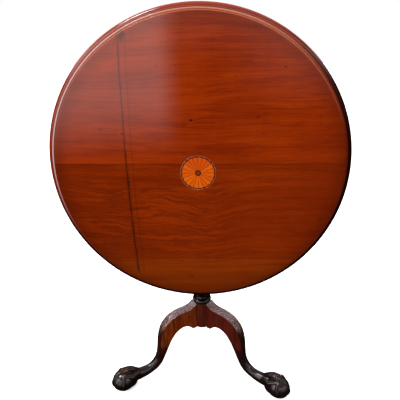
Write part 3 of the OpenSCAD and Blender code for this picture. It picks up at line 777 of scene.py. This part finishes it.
def section(depth, half, round_by, crown):
    """Closed outline of one cross-section as rows of (across, depth), first along the top surface."""
    rows = []
    c = min(CORNER_R, depth * 0.4, half * 0.4)

    def corner(across, deep, start, end):
        for a in np.radians(np.linspace(start, end, RING_CORNER + 2)[1:-1]):
            rows.append((across + c * math.cos(a), deep + c * math.sin(a)))

    rows += [(t * (half - c), depth) for t in np.linspace(-1, 1, RING_TOP)]
    corner(half - c, depth - c, 90, 0)
    rows += [(half, t * (depth - c)) for t in np.linspace(1, -1, RING_SIDE)]
    corner(half - c, c - depth, 0, -90)
    rows += [(t * (half - c), -depth) for t in np.linspace(1, -1, RING_LOW)]
    corner(c - half, c - depth, -90, -180)
    rows += [(-half, t * (depth - c)) for t in np.linspace(-1, 1, RING_SIDE)]
    corner(c - half, depth - c, 180, 90)
    rows = np.array(rows)
    angle = np.arctan2(rows[:, 1] / depth, rows[:, 0] / half)
    oval = np.stack([half * np.cos(angle), depth * np.sin(angle)], axis=1)
    rows = rows * (1 - round_by) + oval * round_by
    on_top = np.arange(len(rows)) < RING_TOP
    rows[on_top, 1] += crown * (1 - (rows[on_top, 0] / half) ** 2)
    return rows


CARVE_FROM, CARVE_TO = 4.7, 10.6       # stations between which the knee is carved
LEAF_TIP = 0.87                        # share of the carving after which the leaf is only its tip
LOBES, VEINS, FINE_VEINS = 4.5, 7.5, 22


def smooth(t):
    """Smooth step of t from 0..1 to 0..1."""
    t = np.clip(t, 0, 1)
    return t * t * (3 - 2 * t)


def carving(station, u):
    """Height in millimetres of the leaf carved on the knee, at u from -1 to 1 across."""
    s = (station - CARVE_FROM) / (CARVE_TO - CARVE_FROM)
    if not 0 < s < 1:
        return np.zeros_like(u)
    if s < LEAF_TIP:
        taper = math.sin(math.pi * min(s * 1.15, 1) ** 0.8) ** 0.5
    else:
        taper = 0.55 * ((1 - s) / (1 - LEAF_TIP)) ** 0.7
    lobes = 0.80 + 0.20 * abs(math.cos(math.pi * LOBES * s))
    edge = 0.94 * taper * lobes
    away = np.abs(u)
    leaf = smooth((edge - away) / 0.10)
    rib = np.exp(-(away / 0.07) ** 2)
    veins = 0.5 + 0.5 * np.cos(2 * math.pi * (VEINS * s - 1.5 * away))
    fine = 0.5 + 0.5 * np.cos(2 * math.pi * (FINE_VEINS * s - 4.4 * away))
    rise = smooth(np.array(min(s, 1 - s) / 0.10))
    body = 1.25 + 0.55 * rib - 0.95 * veins * smooth((away - 0.05) / 0.15) - 0.25 * fine
    return float(rise) * leaf * body


def leg_sweep():
    """Points and faces of the leg's shaft, drawn along +X with the pillar's axis at the origin."""
    steps = 14
    rows = spline(LEG, steps)
    points, rings = [], []
    for i, (top_out, top_up, low_out, low_up, half, round_by, crown) in enumerate(rows):
        round_by = min(max(round_by, 0), 1)
        top, low = np.array((top_out, top_up)), np.array((low_out, low_up))
        centre, up = (top + low) / 2, top - low
        depth = np.linalg.norm(up) / 2
        up = up / np.linalg.norm(up)
        outline = section(depth, half, round_by, max(crown, 0))
        lift = np.zeros(len(outline))
        lift[:RING_TOP] = carving(i / steps, outline[:RING_TOP, 0] / half)
        ring = []
        for (across, deep), extra in zip(outline, lift):
            out = centre + up * (deep + extra)
            ring.append(len(points))
            points.append((out[0], across, out[1]))
        rings.append(ring)
    faces = []
    count = len(rings[0])
    for a, b in zip(rings, rings[1:]):
        faces += [(a[k], a[(k + 1) % count], b[(k + 1) % count], b[k]) for k in range(count)]
    faces += [tuple(reversed(rings[0])), tuple(rings[-1])]
    return points, faces


def ball_point(heading, up, over):
    """Point over the ball's surface, at a heading and an angle up in degrees."""
    h, e = math.radians(heading), math.radians(up)
    return np.array((BALL_OUT + (BALL[0] + over) * math.cos(e) * math.cos(h),
                     (BALL[1] + over) * math.cos(e) * math.sin(h), BALL_Z + (BALL[2] + over) * math.sin(e)))


def tube(path):
    """Closed tube along rows of (x, y, z, half width, half height, outward x, y, z)."""
    sides = 16
    points, faces = [], []
    for i, row in enumerate(path):
        here = row[:3]
        ahead = path[min(i + 1, len(path) - 1)][:3] - path[max(i - 1, 0)][:3]
        ahead = ahead / np.linalg.norm(ahead)
        outward = row[5:8] - ahead * np.dot(row[5:8], ahead)
        outward = outward / np.linalg.norm(outward)
        across = np.cross(ahead, outward)
        for k in range(sides):
            a = 2 * math.pi * k / sides
            points.append(here + across * row[3] * math.cos(a) + outward * row[4] * math.sin(a))
    for i in range(len(path) - 1):
        for k in range(sides):
            n = (k + 1) % sides
            faces.append((i * sides + k, i * sides + n, (i + 1) * sides + n, (i + 1) * sides + k))
    faces += [tuple(reversed(range(sides))), tuple(range((len(path) - 1) * sides, len(path) * sides))]
    return points, faces


# A claw starts at the ankle, as (out, side, up, half width, half height) in millimetres, and then
# lies over the ball, as (angle up, height of its middle above the ball, half width, half height).
FRONT_ROOT = ((244, 0, 42, 8, 8), (262, 0, 57, 8, 8), (278, 0, 68, 7.4, 7))
FRONT_CLAW = ((102, 3.4, 7.4, 5.4), (84, 2.6, 7.0, 4.8), (68, 2.6, 7.0, 4.8), (56, 2.2, 6.6, 4.6),
              (42, 1.0, 5.8, 4.0), (26, 0.6, 5.2, 3.8), (11, 0.8, 5.0, 3.8), (0, 0.4, 4.4, 3.4),
              (-14, 0.0, 3.4, 2.8), (-28, -0.6, 2.4, 2.2), (-40, -1.4, 1.2, 1.4))
SIDE_ROOT = ((244, 6, 38, 8, 8), (262, 14, 48, 8, 7.5), (279, 22, 55, 7.2, 6.4))
SIDE_CLAW = ((62, 0.8, 5.0, 4.0), (50, 1.2, 4.6, 4.0), (37, 0.4, 3.6, 3.4), (24, 0.2, 3.2, 3.2),
             (10, 0.9, 3.8, 3.6), (-2, 0.3, 3.0, 2.9), (-15, -0.1, 2.5, 2.5), (-28, -0.5, 2.0, 2.1),
             (-40, -1.2, 1.2, 1.4))
SIDE_AT, SIDE_SWEEP = 78, -10          # heading of a side claw, and how far its nail comes forward
BACK_ROOT = ((240, 0, 30, 9, 7), (254, 0, 27, 9, 7), (263, 0, 22, 8, 6))
BACK_CLAW = ((-12, 3.4, 6.4, 4.8), (-26, 2.0, 4.6, 4.0), (-38, 0.4, 3.0, 2.8), (-48, -0.8, 1.6, 1.6))


def claw(root, rows, heading, sweep=0.0, side=1):
    """Tube from the ankle over the ball; sweep turns its lower end, side mirrors it."""
    path = []
    for out, across, up, half_w, half_h in root:
        at = np.array((out, across * side, up))
        path.append((*at, half_w, half_h, out - BALL_OUT, across * side, up - BALL_Z))
    for up, over, half_w, half_h in rows:
        way = (heading + sweep * smooth((50 - up) / 80)) * side
        at = ball_point(way, up, over)
        path.append((*at, half_w, half_h, *(ball_point(way, up, over + 1) - at)))
    path = spline(path, 5)
    path[:, 5:8] /= np.linalg.norm(path[:, 5:8], axis=1)[:, None]
    return tube(path)


def blob(centre, radii, rows=24, around=36):
    """Closed ellipsoid."""
    points = [np.array(centre) - (0, 0, radii[2])]
    for i in range(1, rows):
        e = math.pi * i / rows - math.pi / 2
        for k in range(around):
            a = 2 * math.pi * k / around
            points.append(np.array(centre) + (radii[0] * math.cos(e) * math.cos(a),
                                              radii[1] * math.cos(e) * math.sin(a), radii[2] * math.sin(e)))
    points.append(np.array(centre) + (0, 0, radii[2]))
    last = len(points) - 1
    faces = [(0, 1 + (k + 1) % around, 1 + k) for k in range(around)]
    for i in range(rows - 2):
        for k in range(around):
            a, b = 1 + i * around + k, 1 + i * around + (k + 1) % around
            faces.append((a, b, b + around, a + around))
    base = 1 + (rows - 2) * around
    faces += [(base + k, base + (k + 1) % around, last) for k in range(around)]
    return points, faces


def foot_parts():
    """Ball, the pad under the ankle that joins it to the leg, and the four claws."""
    parts = [blob((BALL_OUT + 1.0, 0, BALL_Z), BALL, rows=40, around=64)]
    parts.append(blob((BALL_OUT - 18, 0, 31), (28, 30, 30)))
    parts.append(claw(FRONT_ROOT, FRONT_CLAW, 0))
    parts += [claw(SIDE_ROOT, SIDE_CLAW, SIDE_AT, SIDE_SWEEP, side) for side in (-1, 1)]
    parts.append(claw(BACK_ROOT, BACK_CLAW, 180))
    return parts


VOXEL = 0.9 * MM


def leg_blank():
    """One leg along +X about the pillar's axis, as one closed skin."""
    points, faces = [], []
    for part_points, part_faces in [leg_sweep()] + foot_parts():
        start = len(points)
        points += [np.array(p) * MM for p in part_points]
        faces += [tuple(start + k for k in f) for f in part_faces]
    blank = add_object("leg_blank", mesh_from("leg_blank", points, faces, sharp=180))
    skin = blank.modifiers.new("skin", "REMESH")
    skin.mode = "VOXEL"
    skin.voxel_size = VOXEL
    ease = blank.modifiers.new("ease", "SMOOTH")
    ease.factor = 0.5
    ease.iterations = 2
    mesh = baked(blank, "cabriole_leg")
    shape = bmesh.new()
    shape.from_mesh(mesh)
    rim = cut_level(shape, 0, -1)
    if rim:
        bmesh.ops.holes_fill(shape, edges=rim)
    shape.to_mesh(mesh)
    shape.free()
    return mesh


def mark_wear(mesh):
    """Stores how proud, how hollow and how flat each point is, for the material."""
    count = len(mesh.vertices)

    def rows_of(key):
        values = np.zeros(count * 3, np.float32)
        mesh.vertices.foreach_get(key, values)
        return values.reshape(-1, 3).astype(float)

    at, normals = rows_of("co"), rows_of("normal")
    edges = np.zeros(len(mesh.edges) * 2, np.int32)
    mesh.edges.foreach_get("vertices", edges)
    a, b = edges.reshape(-1, 2).T
    degree = np.bincount(np.concatenate([a, b]), minlength=count).clip(1)

    def spread(values):
        """Each point's mean over its neighbours."""
        total = np.zeros_like(values)
        np.add.at(total, a, values[b])
        np.add.at(total, b, values[a])
        return total / degree.reshape((-1,) + (1,) * (values.ndim - 1))

    mean = at.copy()
    for _ in range(6):
        mean = spread(mean)
    proud = np.einsum("ij,ij->i", at - mean, normals) / MM
    for _ in range(2):
        proud = spread(proud)
    worn = smooth((proud - 0.10) / 0.35)
    hollow = smooth((-proud - 0.03) / 0.16)
    height = at[:, 2] / MM
    flank = smooth((np.abs(normals[:, 1]) - 0.86) / 0.12) * smooth((height - 40) / 110)
    # up-facing tops of the legs, for a painted sheen
    top_sheen = smooth((normals[:, 2] - 0.25) / 0.40) * smooth((height - 120) / 60)
    knee = smooth((normals[:, 2] - 0.10) / 0.30) * smooth((height - 110) / 30) * smooth((242 - height) / 16)
    for name, values in zip(MARKS, (hollow, worn, top_sheen, flank, knee)):
        layer = mesh.attributes.new(name, "FLOAT", "POINT")
        layer.data.foreach_set("value", values.astype(np.float32))


def make_legs(materials):
    mesh = leg_blank()
    mark_wear(mesh)
    shade(mesh, 180)
    for name, foot in FEET.items():
        toward = foot - AXIS
        own = mesh.copy()
        own.name = f"leg_{name}_carved"
        piece = add_object(f"leg_{name}_carved", own)
        turn = Matrix.Rotation(math.atan2(toward.y, toward.x), 4, "Z")
        own.transform(Matrix.Translation(AXIS) @ turn)
        own.materials.append(materials[name])
        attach(piece, "base")
        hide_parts(f"leg_{name}")
    bpy.data.meshes.remove(mesh)


# ---------- put the pieces together ----------

dark_wood = base_wood("base_wood")
plate_wood = under_wood("plate_wood", "X")
batten_wood = under_wood("batten_wood", "Z", 0.92)
brass = old_metal("old_brass", rgb(150, 112, 52), rgb(206, 168, 92), 0.24, 0.5, rgb(66, 48, 30))
iron = old_metal("old_iron", rgb(52, 48, 46), rgb(92, 86, 82), 0.45, 0.7, rgb(60, 34, 22))
steel = old_metal("spring_steel", rgb(110, 108, 104), rgb(160, 158, 152), 0.3, 0.5, rgb(70, 56, 46))

# painted light and shade: the left leg's flat sides are painted lighter, as lit, and the right leg's darker, as in
# shade
make_legs({
    "left": base_wood("leg_left_wood", (96, 34, 10), (152, 66, 22)),
    "right": base_wood("leg_right_wood", (70, 20, 14), (104, 34, 22)),
    "back": base_wood("leg_back_wood"),
})
drum_top = PILLAR_LOW.z + DRUM_H * MM
make_pillar().data.materials.append(base_wood("pillar_wood", (74, 24, 14), (108, 40, 24), drum_top))
make_collar().data.materials.append(dark_wood)
for node in ("baluster_front_left", "baluster_front_right", "baluster_back_left", "baluster_back_right"):
    make_baluster(node).data.materials.append(dark_wood)

eased_piece("cage_top_plate", 1.2 * MM, "cage", plate_wood)
eased_piece("cage_bottom_plate", 1.2 * MM, "cage", plate_wood)
eased_piece("batten_left", 1.5 * MM, "top", batten_wood)
eased_piece("batten_right", 1.5 * MM, "top", batten_wood)
eased_piece("cage_wedge", 0.8 * MM, "base", batten_wood)

FINISHES = {
    "inlay_stringing": plain_inlay("boxwood", rgb(126, 44, 26), rgb(182, 112, 82)),
    "inlay_blocks_dark": plain_inlay("dark_block", rgb(30, 2, 2), rgb(52, 4, 4)),
    "inlay_blocks_light": plain_inlay("light_block", rgb(104, 30, 10), rgb(150, 58, 22)),
    "inlay_petals": satinwood("shaded_petal"),
    "inlay_eye_ring": plain_inlay("dark_eye", rgb(48, 20, 10), rgb(92, 42, 14)),
    "inlay_eye": plain_inlay("mahogany_eye", rgb(140, 40, 10), rgb(168, 56, 14)),
    "batten_screws": iron, "leg_spider": iron, "spider_screws": iron, "catch_spring": steel,
    "catch_case": brass, "catch_bolt": brass, "catch_knob": brass, "catch_screws": brass,
    "keeper_plate": brass, "keeper_screws": brass,
}
for node, finish in FINISHES.items():
    nodes[node].data.materials.clear()
    nodes[node].data.materials.append(finish)


# ---------- floor and light ----------

FLOOR_HALF = 60
FLOOR_GLOW = 0.45                # keeps the floor as pale as the backdrop


def make_floor():
    """Large pale floor that takes a soft shadow."""
    mesh = bpy.data.meshes.new("floor")
    half = FLOOR_HALF
    corners = [(-half, -half, 0), (half, -half, 0), (half, half, 0), (-half, half, 0)]
    mesh.from_pydata(corners, [], [(0, 1, 2, 3)])
    floor = add_object("floor", mesh)
    p = Paint("pale_floor")
    patch = p.noise(p.object_coords, scale=3, detail=4)
    p.set(Base_Color=p.mix(patch, rgb(250, 250, 250), rgb(255, 255, 255)))
    p.set(Roughness=0.9, Specular_IOR_Level=0.0)
    p.set(Emission_Color=(1, 1, 1, 1), Emission_Strength=FLOOR_GLOW)
    mesh.materials.append(p.material)
    floor.visible_glossy = False
    floor.visible_diffuse = False


def area_light(name, place, target, size, power):
    """Square soft lamp that doesn't show itself or its reflection."""
    data = bpy.data.lights.new(name, "AREA")
    data.shape = "SQUARE"
    data.size = size
    data.energy = power
    lamp = bpy.data.objects.new(name, data)
    bpy.context.scene.collection.objects.link(lamp)
    aim = (Vector(target) - Vector(place)).to_track_quat("-Z", "Y")
    lamp.matrix_world = Matrix.Translation(place) @ aim.to_matrix().to_4x4()
    lamp.visible_camera = False
    lamp.visible_glossy = False


SOFT_LIGHT = 1.76

# What polish mirrors of the room, as soft-edged patches of direction: strength, then the range of
# side (x over -y, so that 0 is straight ahead of the top), the range of up (z) and their soft edges.
MIRRORED = (
    (2.0, -0.80, -0.13, 0.04, -0.17, 0.30, 0.10),      # pale wall and window on the left
    (0.50, -9.0, 9.0, 1.0, 0.06, 0.50, 0.09),          # far side of the room
    (4.0, -1.9, -1.0, 0.12, -0.10, 0.80, 0.10),        # bright window further left
    (0.45, 0.12, 0.9, 0.12, -0.07, 0.50, 0.08),        # wall on the right
    (4.0, -1.1, -0.35, 0.15, 0.48, 0.68, 0.07),        # bright window high on the left
    (0.8, 0.9, 2.2, 0.30, -0.02, 0.55, 0.10),          # dim wall on the right
)
MIRRORED_BAND = (2.6, 0.40, 0.60, 0.06)                # row of bright lights high up, all round
MIRRORED_CEILING = (0.7, 0.60, 0.90)
MIRRORED_LAMP = ((-0.467, -0.077, 0.881), 34.0, 0.984, 0.994)     # direction, strength, outer and inner cosine
MIRRORED_DARK = 0.004
SOFT_BELOW = 0.03                                      # soft light from below, against SOFT_LIGHT from above


def make_world():
    """White for the eye and for soft light; polish mirrors a dim room with a few bright patches."""
    world = bpy.data.worlds.new("studio")
    bpy.context.scene.world = world
    world.use_nodes = True
    world.node_tree.nodes.clear()
    n = Nodes(world.node_tree)

    axes = n.add("ShaderNodeSeparateXYZ")
    n.feed(axes.inputs[0], n.add("ShaderNodeTexCoord").outputs["Generated"])
    x, y, z = axes.outputs
    side = n.math("DIVIDE", x, n.math("MAXIMUM", n.times(y, -1.0), 0.02))
    in_front = n.ramp(y, 0.0, -0.15)
    glow = MIRRORED_DARK
    for strength, left, right, side_soft, low, high, up_soft in MIRRORED:
        patch = n.times(n.window(side, left, right, side_soft), n.window(z, low, high, up_soft))
        glow = n.plus(glow, n.times(n.times(patch, in_front), strength))
    strength, low, high, soft = MIRRORED_BAND
    glow = n.plus(glow, n.times(n.window(z, low, high, soft), strength))
    strength, low, high = MIRRORED_CEILING
    glow = n.plus(glow, n.ramp(z, low, high, 0, strength))
    (lamp_x, lamp_y, lamp_z), strength, outer, inner = MIRRORED_LAMP
    toward = n.plus(n.plus(n.times(x, lamp_x), n.times(y, lamp_y)), n.times(z, lamp_z))
    glow = n.plus(glow, n.ramp(toward, outer, inner, 0, strength))

    # strongest from above and from the left
    soft_light = n.times(n.ramp(z, -0.05, 0.55, SOFT_BELOW, SOFT_LIGHT), n.ramp(x, -0.4, 0.8, 1.25, 0.25))

    def background(strength):
        shader = n.add("ShaderNodeBackground")
        shader.inputs["Color"].default_value = (1, 1, 1, 1)
        n.feed(shader.inputs["Strength"], strength)
        return shader.outputs[0]

    path = n.add("ShaderNodeLightPath")
    out = background(soft_light)
    for test, strength in (("Is Glossy Ray", glow), ("Is Camera Ray", 1.0)):
        choose = n.add("ShaderNodeMixShader")
        n.feed(choose.inputs[0], path.outputs[test])
        n.feed(choose.inputs[1], out)
        n.feed(choose.inputs[2], background(strength))
        out = choose.outputs[0]
    n.feed(n.add("ShaderNodeOutputWorld").inputs["Surface"], out)


make_floor()
make_world()
middle = FACE + Vector((0, 0, -0.15))
area_light("key", FACE + Vector((-1.3, -2.0, 1.3)), middle, 1.2, 34)
area_light("overhead", FACE + Vector((0.2, 0.2, 2.2)), FACE + Vector((0, 0, -1)), 2.4, 30)
area_light("back", FACE + Vector((0.8, 2.4, 1.0)), middle, 1.6, 30)

bpy.context.scene.view_settings.view_transform = "Standard"
